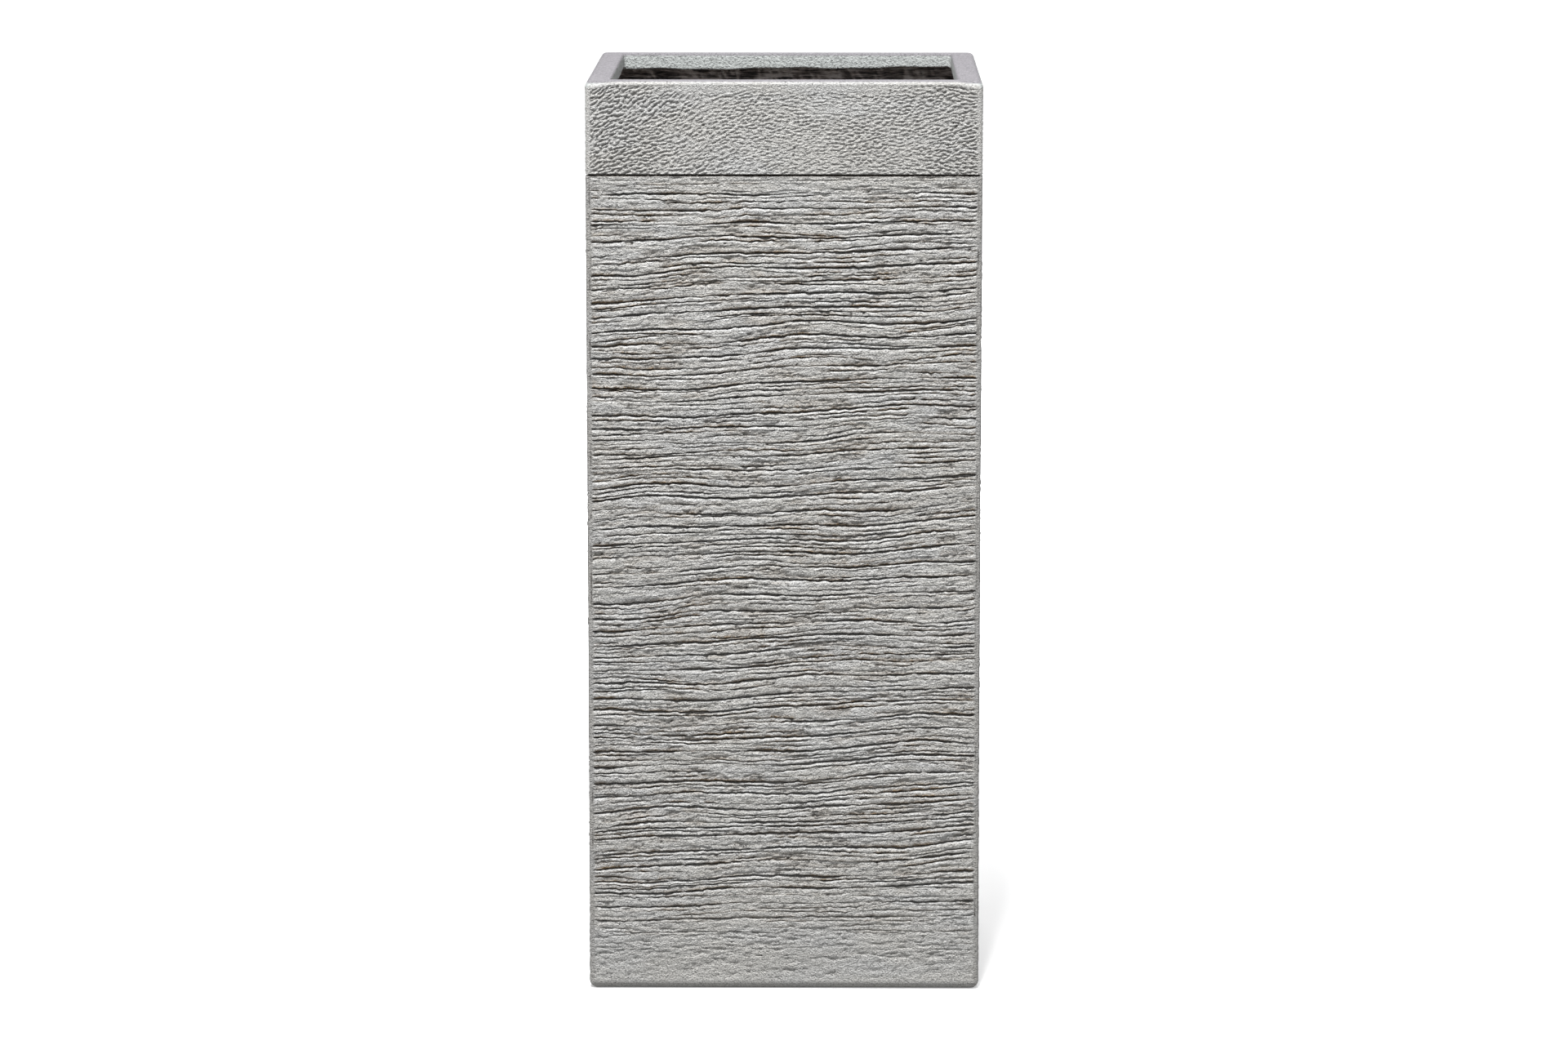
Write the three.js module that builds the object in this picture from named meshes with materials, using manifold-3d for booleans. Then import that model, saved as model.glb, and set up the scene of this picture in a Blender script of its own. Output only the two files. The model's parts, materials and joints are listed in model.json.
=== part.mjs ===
// Tall square fiberglass planter: a pale combed facing coat over a hand-laid glass-mat tub.
// Millimetres, +Z up, origin at the middle of the underside, front face towards -Y.

import * as THREE from 'three';
import { mergeVertices } from 'three/addons/utils/BufferGeometryUtils.js';
import Module from 'manifold-3d';

// ---- Driving dimensions -------------------------------------------------------------------

// Outer body
const bodyWidth = 300;
const bodyDepth = 300;
const bodyHeight = 700;
const cornerRadius = 5; // plan radius of the four vertical edges
const topEdgeRadius = 5;
const bottomEdgeRadius = 7;

// Rim and its inward lip
const rimWidth = 19; // flat top, from the outer face to the mouth
const lipDepth = 12; // how far the lip hangs below the rim top
const lipThickness = 3.5;
const lipEdgeRadius = 2;
const mouthCornerRadius = 4;

// Wall make-up
const facingThickness = 4;
const laminateThickness = 3;
const cavityCornerRadius = 5; // plan radius of the inside of the facing coat
const cornerStep = 3; // how much rounder each inner layer is in the corners, so that only its flats bear

// Base
const standingMargin = 28; // width of the return that the planter stands on
const marginCornerRadius = 12;
const marginStep = 2; // how far the laminate stops short of the return's inner edge
const basePanelThickness = 4;
const panelClearance = 0.5;
const baseMatThickness = 2;
const coveLeg = 20;
const coveToe = 1.6;
const coveSegments = 5;

// Stiffening inside the lip
const coreRecess = 1.5; // how far the core stays above the lip's lower edge
const mitreGap = 0.6;

// Glass-mat strips in the inside corners
const tapeWidth = 45;
const tapeThickness = 1.5;
const tapeTopGap = 14; // from the strip's top to the core above it

// Drain
const drainRadius = 12.5;
const plugClearance = 0.3;
const plugTaper = 1.2;
const plugFlangeOverlap = 8;
const plugFlangeThickness = 3;
const plugGripRadius = 6;
const plugGripHeight = 9;
const plugReach = 0.8; // how far the plug's end shows below the base panel

// Top band and the scored line under it
const bandHeight = 71;
const scoreWidth = 1.4;
const scoreDepth = 1.8;

// Combed faces: each stroke of the comb leaves a groove, and the next stroke throws a ridge up over it
const cornerStrip = 4.5; // from a vertical edge of the body to the ends of the strokes
const ridgePitch = 11;
const combColumns = 7; // stretches across a face, on which a stroke changes its pressure and its height
const slopeReach = 3.4; // from a groove down to where the ridge below it starts to fall inwards
const ledgeReach = 1.5; // from a groove up to the front of the ridge that overhangs it
const grooveJitter = 2.2; // how unevenly the strokes follow each other
const strokeJitter = 1.8; // how far a stroke strays from its neighbours on its way across
const combLipDepth = 0.25; // depth of the comb's lightest stroke
const ridgeDepth = 0.9; // deepest that the front of a ridge lies
const grooveDepth = 2.6; // deepest that a groove lies
const faintestGroove = 0.2; // share of that depth where a stroke was pressed least
const combTopMargin = 3; // smooth run between the scored line and the first stroke
const combBottomMargin = 24; // smooth run above the floor
const combTopFade = 55; // run over which the pressure grows under the scored line
const combTopStrength = 0.6; // share of the full pressure at the scored line
const combBottomFade = 78; // run over which the pressure dies out towards the floor
const combDriftFade = 75; // run over which the strokes turn level towards the scored line
const combWander = 1.5; // height of the waves that the strokes share
const longWave = 230;
const shortWave = 130;
const combRise = 5.5; // how far a stroke climbs from the middle of a face to its right-hand edge

// Facets
const cornerSegments = 3;
const edgeSegments = 3;
const roundSegments = 24;
const cutterOvershoot = 5; // how far a cutting tool reaches past the surface that it opens

// ---- Derived sizes ------------------------------------------------------------------------

const wallThickness = facingThickness + laminateThickness;
const cavityWidth = bodyWidth - 2 * facingThickness;
const cavityDepth = bodyDepth - 2 * facingThickness;
const innerWidth = bodyWidth - 2 * wallThickness;
const innerDepth = bodyDepth - 2 * wallThickness;
const mouthWidth = bodyWidth - 2 * rimWidth;
const mouthDepth = bodyDepth - 2 * rimWidth;
const lipBackWidth = mouthWidth + 2 * lipThickness;
const lipBackDepth = mouthDepth + 2 * lipThickness;

const laminateCornerRadius = cavityCornerRadius + cornerStep;
const innerCornerRadius = Math.max(laminateCornerRadius - laminateThickness, cavityCornerRadius);
const liningCornerRadius = innerCornerRadius + cornerStep;
const lipBackCornerRadius = mouthCornerRadius + lipThickness;
const coreHoleCornerRadius = Math.max(lipBackCornerRadius - cornerStep, 1);

const rimUnderside = bodyHeight - facingThickness;
const lipBottom = bodyHeight - lipDepth;
const laminateFloor = facingThickness + laminateThickness;
const panelTop = laminateFloor + basePanelThickness;
const matTop = panelTop + baseMatThickness;
const coveTop = panelTop + coveLeg;
const coreBottom = lipBottom + coreRecess;
const tapeTop = coreBottom - tapeTopGap;
const scoreMiddle = bodyHeight - bandHeight;
const combBottom = combBottomMargin;
const combTop = scoreMiddle - scoreWidth / 2 - combTopMargin;
const combRidges = Math.max(1, Math.round((combTop - combBottom) / ridgePitch));
const combPitch = (combTop - combBottom) / combRidges;

// ---- Materials ----------------------------------------------------------------------------

function finish(color, roughness, metalness = 0) {
  return new THREE.MeshStandardMaterial({ color, roughness, metalness });
}

const facingFinish = finish(0xaeaca6, 0.85);
const laminateFinish = finish(0x4a4541, 0.7);
const coreFinish = finish(0x8f8a7c, 0.9);
const puttyFinish = finish(0x6a645c, 0.75);
const rubberFinish = finish(0x1d1d1e, 0.85);

// ---- Solids: geometry in, geometry out ------------------------------------------------------

const wasm = await Module();
wasm.setup();

function toSolid(geometry) {
  const bare = geometry.index ? geometry.clone() : geometry;
  bare.deleteAttribute('normal');
  bare.deleteAttribute('uv');
  const merged = mergeVertices(bare, 1e-4);
  return new wasm.Manifold(
    new wasm.Mesh({
      numProp: 3,
      vertProperties: new Float32Array(merged.attributes.position.array),
      triVerts: new Uint32Array(merged.index.array),
    }),
  );
}

function toGeometry(solid) {
  const mesh = solid.getMesh();
  const geometry = new THREE.BufferGeometry();
  geometry.setAttribute('position', new THREE.BufferAttribute(mesh.vertProperties, 3));
  geometry.setIndex(new THREE.BufferAttribute(mesh.triVerts, 1));
  geometry.computeVertexNormals();
  return geometry;
}

function roundedRectangle(width, depth, radius) {
  const x = width / 2;
  const y = depth / 2;
  const r = Math.min(radius, x * 0.9, y * 0.9);
  const shape = new THREE.Shape();
  shape.moveTo(-x + r, -y);
  shape.lineTo(x - r, -y);
  shape.absarc(x - r, -y + r, r, -Math.PI / 2, 0);
  shape.lineTo(x, y - r);
  shape.absarc(x - r, y - r, r, 0, Math.PI / 2);
  shape.lineTo(-x + r, y);
  shape.absarc(-x + r, y - r, r, Math.PI / 2, Math.PI);
  shape.lineTo(-x, -y + r);
  shape.absarc(-x + r, -y + r, r, Math.PI, 1.5 * Math.PI);
  return shape;
}

function prism(shape, bottom, top) {
  const geometry = new THREE.ExtrudeGeometry(shape, {
    depth: top - bottom,
    bevelEnabled: false,
    curveSegments: cornerSegments,
  });
  geometry.translate(0, 0, bottom);
  return toSolid(geometry);
}

function roundedPrism(width, depth, radius, bottom, top) {
  return prism(roundedRectangle(width, depth, radius), bottom, top);
}

// One closed skin through a stack of plan outlines, each { width, depth, radius, z }, lowest first.
function loft(outlines) {
  const rings = outlines.map(({ width, depth, radius, z }) => {
    const points = roundedRectangle(width, depth, radius).getPoints(cornerSegments);
    if (points[0].distanceTo(points[points.length - 1]) < 1e-6) points.pop();
    return points.map((point) => new THREE.Vector3(point.x, point.y, z));
  });
  const count = rings[0].length;
  const index = [];
  for (let level = 0; level + 1 < rings.length; level += 1) {
    for (let i = 0; i < count; i += 1) {
      const here = level * count + i;
      const next = level * count + ((i + 1) % count);
      index.push(here, next, next + count, here, next + count, here + count);
    }
  }
  const last = (rings.length - 1) * count;
  for (let i = 1; i + 1 < count; i += 1) {
    index.push(0, i + 1, i);
    index.push(last, last + i, last + i + 1);
  }
  const geometry = new THREE.BufferGeometry().setFromPoints(rings.flat());
  geometry.setIndex(index);
  return toSolid(geometry);
}

function drainCutter() {
  const height = matTop + 2 * cutterOvershoot;
  const geometry = new THREE.CylinderGeometry(drainRadius, drainRadius, height, roundSegments);
  geometry.rotateX(Math.PI / 2);
  geometry.translate(0, 0, height / 2 - cutterOvershoot);
  return toSolid(geometry);
}

// ---- Facing coat ----------------------------------------------------------------------------

// Plan outlines of the outer block, drawn in at the bottom and top edges by their fillets.
function outerBlock() {
  const outlines = [];
  const addOutline = (inset, z) => {
    outlines.push({
      width: bodyWidth - 2 * inset,
      depth: bodyDepth - 2 * inset,
      radius: Math.max(cornerRadius - inset / 2, 1),
      z,
    });
  };
  for (let i = 0; i <= edgeSegments; i += 1) {
    const angle = (i / edgeSegments) * (Math.PI / 2);
    addOutline(bottomEdgeRadius * (1 - Math.sin(angle)), bottomEdgeRadius * (1 - Math.cos(angle)));
  }
  for (let i = 0; i <= edgeSegments; i += 1) {
    const angle = (i / edgeSegments) * (Math.PI / 2);
    addOutline(topEdgeRadius * (1 - Math.cos(angle)), bodyHeight - topEdgeRadius * (1 - Math.sin(angle)));
  }
  return loft(outlines);
}

// The mouth, flared at the top so that the rim's inner edge comes out rounded.
function mouthCutter() {
  const start = lipBottom - cutterOvershoot;
  const outlines = [{ width: mouthWidth, depth: mouthDepth, radius: mouthCornerRadius, z: start }];
  for (let i = 0; i <= edgeSegments; i += 1) {
    const angle = (i / edgeSegments) * (Math.PI / 2);
    const flare = lipEdgeRadius * (1 - Math.cos(angle));
    outlines.push({
      width: mouthWidth + 2 * flare,
      depth: mouthDepth + 2 * flare,
      radius: mouthCornerRadius + flare,
      z: bodyHeight - lipEdgeRadius * (1 - Math.sin(angle)),
    });
  }
  outlines.push({ ...outlines[outlines.length - 1], z: bodyHeight + cutterOvershoot });
  return loft(outlines);
}

// The ring that a square tool leaves when it runs round the four faces.
function scoredLine() {
  const bottom = scoreMiddle - scoreWidth / 2;
  const top = scoreMiddle + scoreWidth / 2;
  const outside = roundedPrism(
    bodyWidth + 2 * cutterOvershoot,
    bodyDepth + 2 * cutterOvershoot,
    cornerRadius + cutterOvershoot,
    bottom,
    top,
  );
  const inside = roundedPrism(
    bodyWidth - 2 * scoreDepth,
    bodyDepth - 2 * scoreDepth,
    Math.max(cornerRadius - scoreDepth, 1),
    bottom - cutterOvershoot,
    top + cutterOvershoot,
  );
  return outside.subtract(inside);
}

// A repeatable irregular value from 0 to 1 for each pair of whole numbers.
function scatter(a, b) {
  const value = Math.sin(a * 127.1 + b * 311.7) * 43758.5453;
  return value - Math.floor(value);
}

// 0 at the start, 1 once the distance has run over the length.
function fade(distance, length) {
  return THREE.MathUtils.smoothstep(distance, 0, length);
}

// Pressure of the comb at one height, as a share of the full pressure.
function combStrength(z) {
  const top = combTopStrength + (1 - combTopStrength) * fade(scoreMiddle - z, combTopFade);
  return top * fade(z - combBottom, combBottomFade);
}

// How far the strokes have climbed or sunk together at one point of a face.
function combDrift(x, z, face) {
  const slow = Math.sin((2 * Math.PI * (x + z)) / longWave + 1.7 * face);
  const quick = Math.sin((2 * Math.PI * (x - z)) / shortWave + 2.9 * face);
  const calm = fade(z - combBottom, combBottomFade) * fade(combTop - z, combDriftFade);
  return calm * (combWander * (slow + 0.6 * quick) + (combRise * x) / (bodyWidth / 2));
}

// The height of one groove at one column. The lowest and the highest are the level edges of the combing.
function grooveHeight(groove, column, x, face) {
  const rest = combBottom + groove * combPitch;
  if (groove === 0 || groove === combRidges) return rest;
  const uneven = grooveJitter * (scatter(groove, face + 40) - 0.5);
  const astray = strokeJitter * (scatter(groove + 97 * face, column + 31) - 0.5);
  return rest + uneven + astray + combDrift(x, rest, face);
}

// A ridge has three rows of points: the groove under it, its front ledge and the top of its upper slope.
const rowsPerRidge = 3;

function combRowHeight(row, column, x, face) {
  const ridge = Math.floor(row / rowsPerRidge);
  const under = grooveHeight(ridge, column, x, face);
  if (row % rowsPerRidge === 0) return under;
  if (row % rowsPerRidge === 1) return under + Math.min(ledgeReach, combPitch * 0.15);
  return grooveHeight(ridge + 1, column, x, face) - Math.min(slopeReach, combPitch * 0.35);
}

function combDepth(row, column, z, face) {
  if (row === 0 || row === combRidges * rowsPerRidge) return combLipDepth;
  const ridge = Math.floor(row / rowsPerRidge);
  const kind = row % rowsPerRidge;
  const pressure = scatter(ridge + 97 * face, column + 13 * kind);
  const groove = faintestGroove + (1 - faintestGroove) * fade(pressure - 0.1, 0.6);
  const deepest = kind === 0 ? grooveDepth * groove : ridgeDepth * pressure;
  return combLipDepth + Math.max(deepest - combLipDepth, 0) * combStrength(z);
}

// The comb's whole work on one face: a slab outside the face whose inner side carries the ridges.
function combCutter(face) {
  const onSide = face % 2 === 1;
  const faceWidth = onSide ? bodyDepth : bodyWidth;
  const faceDistance = (onSide ? bodyWidth : bodyDepth) / 2;
  const width = faceWidth - 2 * cornerStrip;
  const rows = combRidges * rowsPerRidge;
  const geometry = new THREE.BoxGeometry(width, 1, 1, combColumns, 1, rows);
  const position = geometry.attributes.position;
  for (let i = 0; i < position.count; i += 1) {
    const x = position.getX(i);
    const row = Math.round((position.getZ(i) + 0.5) * rows);
    const column = Math.round((x / width + 0.5) * combColumns);
    const z = combRowHeight(row, column, x, face);
    const isOuter = position.getY(i) < 0;
    const y = isOuter ? -cutterOvershoot : combDepth(row, column, z, face);
    position.setXYZ(i, x, y - faceDistance, z);
  }
  geometry.rotateZ((face * Math.PI) / 2);
  return toSolid(geometry);
}

function facingShell() {
  const cavity = roundedPrism(cavityWidth, cavityDepth, cavityCornerRadius, facingThickness, rimUnderside);
  const lipTop = rimUnderside + facingThickness / 4;
  const lipReturn = roundedPrism(lipBackWidth, lipBackDepth, lipBackCornerRadius, lipBottom, lipTop);
  const baseOpening = roundedPrism(
    bodyWidth - 2 * standingMargin,
    bodyDepth - 2 * standingMargin,
    marginCornerRadius,
    -cutterOvershoot,
    facingThickness + cutterOvershoot,
  );
  let shell = outerBlock().subtract(cavity).add(lipReturn).subtract(mouthCutter());
  shell = shell.subtract(baseOpening).subtract(scoredLine());
  for (let face = 0; face < 4; face += 1) {
    shell = shell.subtract(combCutter(face));
  }
  return toGeometry(shell);
}

// ---- Glass-mat lay-up -------------------------------------------------------------------------

function laminateShell() {
  const openTop = rimUnderside + cutterOvershoot;
  const outside = roundedPrism(cavityWidth, cavityDepth, laminateCornerRadius, facingThickness, rimUnderside);
  const inside = roundedPrism(innerWidth, innerDepth, innerCornerRadius, laminateFloor, openTop);
  const baseOpening = roundedPrism(
    bodyWidth - 2 * (standingMargin - marginStep),
    bodyDepth - 2 * (standingMargin - marginStep),
    marginCornerRadius,
    -cutterOvershoot,
    laminateFloor + cutterOvershoot,
  );
  return toGeometry(outside.subtract(inside).subtract(baseOpening));
}

// The floor, laid up flat beforehand and dropped onto the return.
function basePanel() {
  const panel = roundedPrism(
    innerWidth - 2 * panelClearance,
    innerDepth - 2 * panelClearance,
    liningCornerRadius,
    laminateFloor,
    panelTop,
  );
  return toGeometry(panel.subtract(drainCutter()));
}

function baseMat() {
  const sheet = roundedPrism(
    innerWidth - 2 * (coveLeg + panelClearance),
    innerDepth - 2 * (coveLeg + panelClearance),
    liningCornerRadius,
    panelTop,
    matTop,
  );
  return toGeometry(sheet.subtract(drainCutter()));
}

// The ring of putty between walls and floor, with the round hollow that a gloved thumb leaves.
function floorFillet() {
  const block = roundedPrism(innerWidth, innerDepth, liningCornerRadius, panelTop, coveTop);
  const hollowRadius = coveLeg - coveToe;
  const outlines = [];
  const addOutline = (inset, z) => {
    outlines.push({
      width: innerWidth - 2 * inset,
      depth: innerDepth - 2 * inset,
      radius: liningCornerRadius,
      z,
    });
  };
  addOutline(coveLeg, panelTop - cutterOvershoot);
  for (let i = 0; i <= coveSegments; i += 1) {
    const angle = (i / coveSegments) * (Math.PI / 2);
    addOutline(coveLeg - hollowRadius * Math.sin(angle), coveTop - hollowRadius * Math.cos(angle));
  }
  addOutline(coveToe, coveTop + cutterOvershoot);
  return toGeometry(block.subtract(loft(outlines)));
}

// One of the four lengths in the channel behind the lip, mitred where it meets its neighbours.
function rimCore(face) {
  const outside = roundedPrism(innerWidth, innerDepth, liningCornerRadius, coreBottom, rimUnderside);
  const inside = roundedPrism(
    lipBackWidth,
    lipBackDepth,
    coreHoleCornerRadius,
    coreBottom - cutterOvershoot,
    rimUnderside + cutterOvershoot,
  );
  const x = bodyWidth / 2;
  const y = bodyDepth / 2;
  const corners = [[-x, -y], [x, -y], [x, y], [-x, y]];
  const start = corners[face];
  const end = corners[(face + 1) % 4];
  const along = new THREE.Vector2(end[0] - start[0], end[1] - start[1]).normalize();
  const wedge = new THREE.Shape([
    new THREE.Vector2(start[0] + along.x * mitreGap, start[1] + along.y * mitreGap),
    new THREE.Vector2(end[0] - along.x * mitreGap, end[1] - along.y * mitreGap),
    new THREE.Vector2(along.y * mitreGap, -along.x * mitreGap),
  ]);
  return toGeometry(outside.subtract(inside).intersect(prism(wedge, coreBottom, rimUnderside)));
}

// An angle of mat up one inside corner, from the cove to just below the rim.
function cornerTape(signX, signY) {
  const outside = roundedPrism(innerWidth, innerDepth, liningCornerRadius, coveTop, tapeTop);
  const inside = roundedPrism(
    innerWidth - 2 * tapeThickness,
    innerDepth - 2 * tapeThickness,
    liningCornerRadius,
    coveTop - cutterOvershoot,
    tapeTop + cutterOvershoot,
  );
  const keep = new THREE.BoxGeometry(2 * tapeWidth, 2 * tapeWidth, tapeTop - coveTop + cutterOvershoot);
  keep.translate((signX * innerWidth) / 2, (signY * innerDepth) / 2, (tapeTop + coveTop) / 2);
  return toGeometry(outside.subtract(inside).intersect(toSolid(keep)));
}

// ---- Drain plug ---------------------------------------------------------------------------------

function drainPlug() {
  const stemRadius = drainRadius - plugClearance;
  const flangeRadius = drainRadius + plugFlangeOverlap;
  const flangeTop = matTop + plugFlangeThickness;
  const gripTop = flangeTop + plugGripHeight;
  const plugEnd = laminateFloor - plugReach;
  const profile = [
    new THREE.Vector2(0, plugEnd),
    new THREE.Vector2(stemRadius - plugTaper, plugEnd),
    new THREE.Vector2(stemRadius, plugEnd + 2 * plugTaper),
    new THREE.Vector2(stemRadius, matTop),
    new THREE.Vector2(flangeRadius, matTop),
    new THREE.Vector2(flangeRadius, flangeTop - plugFlangeThickness / 3),
    new THREE.Vector2(flangeRadius - plugFlangeThickness / 3, flangeTop),
    new THREE.Vector2(plugGripRadius * 0.75, flangeTop + plugFlangeThickness / 3),
    new THREE.Vector2(plugGripRadius * 0.6, flangeTop + plugGripHeight * 0.5),
    new THREE.Vector2(plugGripRadius, gripTop - plugGripHeight * 0.25),
    new THREE.Vector2(plugGripRadius * 0.8, gripTop),
    new THREE.Vector2(0, gripTop),
  ];
  const geometry = new THREE.LatheGeometry(profile, roundSegments);
  geometry.rotateX(Math.PI / 2);
  return toGeometry(toSolid(geometry));
}

// ---- Assembly -------------------------------------------------------------------------------------

const planter = new THREE.Group();

function addPart(name, geometry, material) {
  const mesh = new THREE.Mesh(geometry, material);
  mesh.name = name;
  planter.add(mesh);
}

addPart('facing_shell', facingShell(), facingFinish);
addPart('laminate_shell', laminateShell(), laminateFinish);
addPart('base_panel', basePanel(), laminateFinish);
addPart('base_mat', baseMat(), laminateFinish);
addPart('floor_fillet', floorFillet(), puttyFinish);

const sides = ['front', 'right', 'back', 'left'];
sides.forEach((side, face) => addPart(`rim_core_${side}`, rimCore(face), coreFinish));

for (const [end, signY] of [['front', -1], ['back', 1]]) {
  for (const [side, signX] of [['left', -1], ['right', 1]]) {
    addPart(`corner_tape_${end}_${side}`, cornerTape(signX, signY), laminateFinish);
  }
}

addPart('drain_plug', drainPlug(), rubberFinish);

export default planter;
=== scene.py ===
import json
import math

import bmesh
import bpy
import numpy as np
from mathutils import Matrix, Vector

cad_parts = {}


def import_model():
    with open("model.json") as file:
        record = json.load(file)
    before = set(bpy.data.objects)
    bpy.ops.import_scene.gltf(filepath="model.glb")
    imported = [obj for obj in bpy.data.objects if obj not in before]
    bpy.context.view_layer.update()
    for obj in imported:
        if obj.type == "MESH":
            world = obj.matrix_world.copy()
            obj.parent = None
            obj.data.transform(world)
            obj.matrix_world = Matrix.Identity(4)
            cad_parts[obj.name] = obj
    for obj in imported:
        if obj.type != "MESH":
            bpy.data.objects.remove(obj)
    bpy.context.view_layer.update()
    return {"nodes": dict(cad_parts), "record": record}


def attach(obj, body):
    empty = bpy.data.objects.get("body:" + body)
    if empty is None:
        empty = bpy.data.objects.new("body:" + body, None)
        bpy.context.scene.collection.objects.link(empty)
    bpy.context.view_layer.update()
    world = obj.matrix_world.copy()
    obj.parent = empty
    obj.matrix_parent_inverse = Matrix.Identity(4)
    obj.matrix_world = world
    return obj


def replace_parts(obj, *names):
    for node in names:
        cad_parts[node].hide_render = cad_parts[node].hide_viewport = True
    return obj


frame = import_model()

# ------------ sizes, in millimetres
MM = 0.001
HALF = 150.0  # half the planter's width
HEIGHT = 700.0
CORNER = 5.0  # radius of the vertical corners
FLAT = HALF - CORNER  # where a face turns into its corner
FACE_EDGE = FLAT + CORNER * math.pi / 4  # half of a face, measured along the surface
FACE_BACK = 146.3  # plane on which the facing panels end inside
DEEPEST = 3.3  # deepest mark in the facing

FOOT_ROUND = 7.0
FOOT_TOP = FOOT_ROUND  # where a face meets the rounded foot edge
SCORE_LINE = 629.0  # middle of the scored line under the band
SCORE_HALF = 0.75
SCORE_DEPTH = 1.9
BRINK = SCORE_LINE - SCORE_HALF  # where a combed face ends under that line
BAND_TOP = 694.6  # where the band meets the rim
EDGE_ROUND = 5.0  # radius of the outer top edge
FRONT_TOP = 697.4  # where the band meets the rim along the front, whose edge is crisper
FRONT_ROUND = 2.4
RIM_WIDTH = 19.0
LIP_ROUND = 2.0
LIP_THICK = 3.5
LIP_BOTTOM = 688.0
RIM_UNDERSIDE = 696.0
MOUTH_CORNER = 4.0
RETURN_WIDTH = 28.0  # width of the standing margin underneath
RETURN_TOP = 4.0
LAMINATE_TOP = 7.0  # top of the mat on the return underneath
WALL_INNER = 143.0  # inner face of the laid-up wall
WALL_OUTER = 146.0
CORE_BOTTOM = 689.5  # underside of the stiffening lengths behind the lip

# The comb's main grooves lie where the solid has them.
COMB_BOTTOM = 24.0
COMB_TOP = 625.3
GROOVES = 55  # ridges between the comb's two level edges
COMB_SPAN = 145.5  # half of the length of a stroke
STRETCHES = 7  # stretches of a stroke, each with its own pressure
GROOVE_JITTER = 2.2
STROKE_JITTER = 1.8
LIGHTEST = 0.25  # depth of the comb's lightest stroke
RIDGE_DEPTH = 0.9
GROOVE_DEPTH = 2.6
FAINTEST = 0.2  # share of that depth where a stroke was pressed least
SLOPE_REACH = 3.4  # from a groove down to the front of the ridge below it
LEDGE_REACH = 1.5  # from a groove up to the front of the ridge over it
COMB_RISE = 5.5  # climb from the middle of a face to its right-hand edge
COMB_WANDER = 1.5
LONG_WAVE = 230.0
SHORT_WAVE = 130.0
TOP_FADE = 55.0  # below the scored line, where the comb bears less
BOTTOM_FADE = 78.0  # above the comb's lower edge, where the marks die out
TOP_CALM = 75.0  # where the strokes come level again under the scored line

LINES_PER_RIDGE = 3  # a main groove and two lighter strokes
OVER_CRACK = (0.22, 0.46, 0.95)  # rows close over a crack
UNDER_CRACK = (1.5, 0.90, 0.48, 0.20)  # and close under the next one
FOOT_ROWS = 14  # level rows between the foot edge and the comb
CORNER_COLUMNS = 4
BAND_CORNER_COLUMNS = 8
RING_SIDE = 60  # steps along each side of a rounded square
RING_CORNER = 6
SIDES = ("front", "right", "back", "left")
SHARP = math.radians(50.0)

# Columns, rows between two cracks and panels of the combing; columns and rows of the band.
FINE_FACE = (190, 1, 3)
PLAIN_FACE = (98, 0, 2)
FINE_BAND = (460, 165)
PLAIN_BAND = (300, 96)
WALL_COLUMNS = 120
WALL_ROWS = 230

FACE_PITS = 420
BAND_PITS = 26
STRANDS = 2600  # chopped strands on one wall
SEAM = 146.6  # from the middle of a face to the fine line beside its corner

# ------------ colours, lamps and camera
PALE = (0.530, 0.522, 0.500)
COOL = (0.535, 0.545, 0.556)
DUST = (0.43, 0.405, 0.37)
TAN = (0.240, 0.160, 0.080)
# Painted shade: the near-black colour put in cracks, pits, seams, the scored line and the band's deepest
# folds, where shade falls.
SHADE_COLOUR = (0.028, 0.019, 0.012)
# Painted highlight: pale colour on the slope that faces up under each crack, where the key light catches.
HIGHLIGHT_PAINT = (0.76, 0.76, 0.75)
# Painted shade: the rim's top paint is set much darker than the lip's, to offset the strong light that
# falls on the top.
RIM_TOP_SHADED_PAINT = ((0.200, 0.192, 0.206), (0.228, 0.219, 0.232))
LIP_PAINT = ((0.410, 0.430, 0.425), (0.455, 0.475, 0.465))
RESIN = (0.012, 0.009, 0.008)
WET_GLASS = (0.25, 0.218, 0.202)
BARE_GLASS = (0.74, 0.70, 0.68)
PUTTY = ((0.16, 0.135, 0.11), (0.09, 0.075, 0.06))
TIMBER = ((0.34, 0.27, 0.18), (0.2, 0.15, 0.09))
RUBBER = ((0.012, 0.012, 0.013), (0.006, 0.006, 0.006))

# Name, place, width, height and watts.
LAMPS = (
    ("key", (-0.35, -1.95, 4.15), 0.7, 0.55, 298.0),
    ("fill_right", (3.2, -0.6, 2.2), 1.5, 1.5, 22.0),
    ("fill_left", (-3.2, -0.4, 2.2), 1.5, 1.5, 22.0),
    ("back", (0.4, 3.0, 3.4), 1.4, 1.2, 80.0),
)
LAMP_TARGET = (0.0, 0.0, 0.35)
CAMERA_PLACE = (0.0405, -4.3144, 1.0279)
CAMERA_TURN = (math.radians(90.0 - 9.053), 0.0, math.radians(0.556))
CAMERA_LENS = 127.3


# ------------ numbers
def ease(low, high, value):
    """0 below low, 1 above high, and a soft climb between them."""
    t = np.clip((value - low) / (high - low), 0.0, 1.0)
    return t * t * (3.0 - 2.0 * t)


def drift(rng, across, up, step_across, step_up):
    """Smooth random values about 0 with bumps of the given size, spread about 1."""
    u = (across - across.min()) / step_across
    v = (up - up.min()) / step_up
    lattice = rng.standard_normal((int(v.max()) + 3, int(u.max()) + 3))
    i = np.floor(u).astype(int)
    j = np.floor(v).astype(int)
    fu = u - i
    fv = v - j
    fu = fu * fu * (3.0 - 2.0 * fu)
    fv = fv * fv * (3.0 - 2.0 * fv)
    low = lattice[j, i] * (1.0 - fu) + lattice[j, i + 1] * fu
    high = lattice[j + 1, i] * (1.0 - fu) + lattice[j + 1, i + 1] * fu
    return (low * (1.0 - fv) + high * fv) * 1.35


def wander(rng, across, step):
    """One smooth random line along a face."""
    return drift(rng, across, np.zeros_like(across), step, 1.0)


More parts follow.
